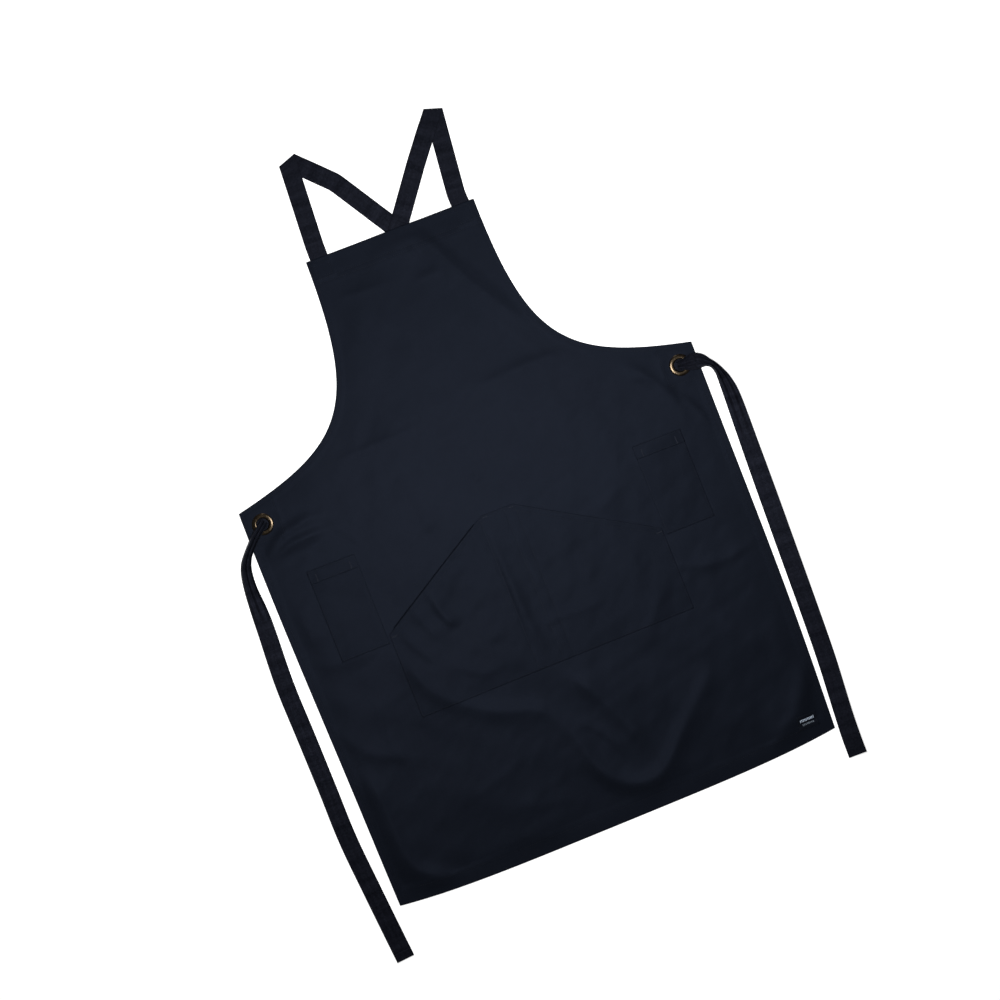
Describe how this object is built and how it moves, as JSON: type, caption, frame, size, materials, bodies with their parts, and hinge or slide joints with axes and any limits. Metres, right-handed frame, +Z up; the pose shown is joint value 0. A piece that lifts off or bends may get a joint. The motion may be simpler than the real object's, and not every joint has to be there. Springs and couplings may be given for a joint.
{
  "type": "bib apron",
  "caption": "Cross-back bib apron laid flat: shoulder straps cross behind the bib, pass out through brass side eyelets and end as waist ties; centre pocket and hip pockets.",
  "frame": {"origin": "on the surface that the apron lies on, under the middle of the whole laid-out apron with its shoulder loops and waist ties", "axes": "+Y from the bottom hem to the bib's top, +X to the right as seen from above, +Z up out of the apron's face"},
  "size_m": [0.777, 1.1416, 0.0048],
  "materials": {
    "cotton_twill": "matt woven cotton twill, navy black",
    "strap_tape": "woven cotton tape, black navy",
    "thread": "matt sewing thread",
    "antique_brass": "darkened antique brass, satin",
    "label": "woven label with plain pale bars"
  },
  "bodies": {
    "skirt": {"skirt_panel": "cotton_twill", "bottom_hem": "cotton_twill", "side_hem_left": "cotton_twill", "side_hem_right": "cotton_twill", "lower_binding_left": "cotton_twill", "lower_binding_right": "cotton_twill", "corner_patch_left": "cotton_twill", "corner_patch_right": "cotton_twill", "eyelet_left": "antique_brass", "eyelet_right": "antique_brass", "eyelet_washer_left": "antique_brass", "eyelet_washer_right": "antique_brass", "centre_pocket": "cotton_twill", "pocket_mouth_tape_left": "cotton_twill", "pocket_mouth_tape_right": "cotton_twill", "pen_slot_stitching": "thread", "hip_pocket_left": "cotton_twill", "hip_pocket_right": "cotton_twill", "hip_pocket_band_left": "cotton_twill", "hip_pocket_band_right": "cotton_twill", "bar_tacks": "thread", "hem_stitching": "thread", "woven_label": "label", "lower_back_strap_left": "strap_tape", "lower_back_strap_right": "strap_tape"},
    "bib": {"bib_panel": "cotton_twill", "bib_top_hem": "cotton_twill", "bib_hem_stitching": "thread", "upper_binding_left": "cotton_twill", "upper_binding_right": "cotton_twill", "strap_end_left": "strap_tape", "strap_end_right": "strap_tape", "upper_back_strap_left": "strap_tape", "upper_back_strap_right": "strap_tape"},
    "shoulder_loops": {"shoulder_front_left": "strap_tape", "shoulder_front_right": "strap_tape", "shoulder_back_left": "strap_tape", "shoulder_back_right": "strap_tape"},
    "tie_left": {"waist_tie_left": "strap_tape", "tie_end_hem_left": "strap_tape"},
    "tie_right": {"waist_tie_right": "strap_tape", "tie_end_hem_right": "strap_tape"}
  },
  "joints": [
    {"name": "bib_fold", "type": "hinge", "parent": "skirt", "child": "bib", "pos_m": [0, 0.153, 0.0028], "axis": [1, 0, 0], "range_deg": [0, 165]},
    {"name": "shoulder_fold", "type": "hinge", "parent": "bib", "child": "shoulder_loops", "pos_m": [0, 0.41725, 0.0028], "axis": [1, 0, 0], "range_deg": [0, 172]},
    {"name": "tie_left_swing", "type": "hinge", "parent": "skirt", "child": "tie_left", "pos_m": [-0.3215, 0.087, 0.003], "axis": [0, 0, -1], "range_deg": [0, 100]},
    {"name": "tie_right_swing", "type": "hinge", "parent": "skirt", "child": "tie_right", "pos_m": [0.3215, 0.087, 0.003], "axis": [0, 0, 1], "range_deg": [0, 100]}
  ]
}
